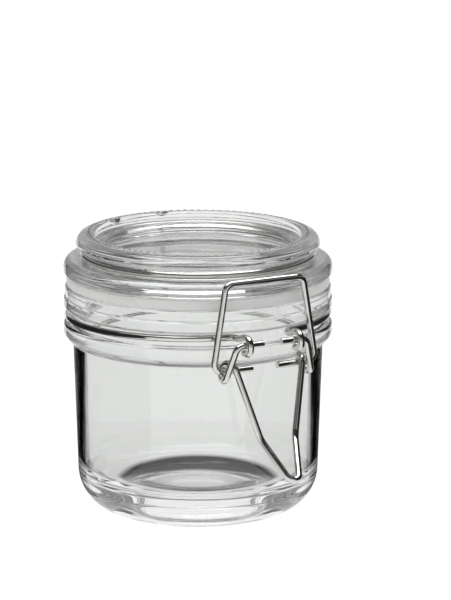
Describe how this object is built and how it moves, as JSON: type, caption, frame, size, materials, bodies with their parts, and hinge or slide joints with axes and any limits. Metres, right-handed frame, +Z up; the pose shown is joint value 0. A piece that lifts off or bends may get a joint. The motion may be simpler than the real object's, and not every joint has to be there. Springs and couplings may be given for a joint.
{
  "type": "lidded glass canister",
  "caption": "Small clear glass storage jar with a dished glass lid on a rubber seal, closed by a bent-wire band, lever and bail.",
  "frame": {"origin": "centre of the foot ring, on the table the jar stands on", "axes": "+Z up along the axis of the jar, -Y towards the clasp, +Y towards the hinge of the lid, +X to the right seen from the clasp"},
  "size_m": [0.08, 0.1062, 0.0842],
  "materials": {
    "jar_glass": "pressed clear glass, fire polished",
    "lid_glass": "pressed clear glass, fire polished",
    "seal_rubber": "pale translucent moulded rubber",
    "steel_wire": "bright drawn wire"
  },
  "bodies": {
    "jar": {"jar_glass": "jar_glass", "neck_band": "steel_wire"},
    "lid": {"lid_glass": "lid_glass", "sealing_ring": "seal_rubber", "lid_ring": "steel_wire"},
    "lever": {"lever": "steel_wire"},
    "bail": {"bail": "steel_wire"}
  },
  "joints": [
    {"name": "lid_hinge", "type": "hinge", "parent": "jar", "child": "lid", "pos_m": [0, 0.04359, 0.0588], "axis": [-1, 0, 0], "range_deg": [0, 100]},
    {"name": "lever_swing", "type": "hinge", "parent": "jar", "child": "lever", "pos_m": [0, -0.04502, 0.05948], "axis": [-1, 0, 0], "range_deg": [0, 125]},
    {"name": "bail_swing", "type": "hinge", "parent": "lever", "child": "bail", "pos_m": [0, -0.0405, 0.05138], "axis": [-1, 0, 0], "range_deg": [-137.5, 0]}
  ],
  "couplings": [
    {"joint": "lever_swing", "follows": "lid_hinge", "ratio": 1.25},
    {"joint": "bail_swing", "follows": "lid_hinge", "ratio": -1.375}
  ]
}
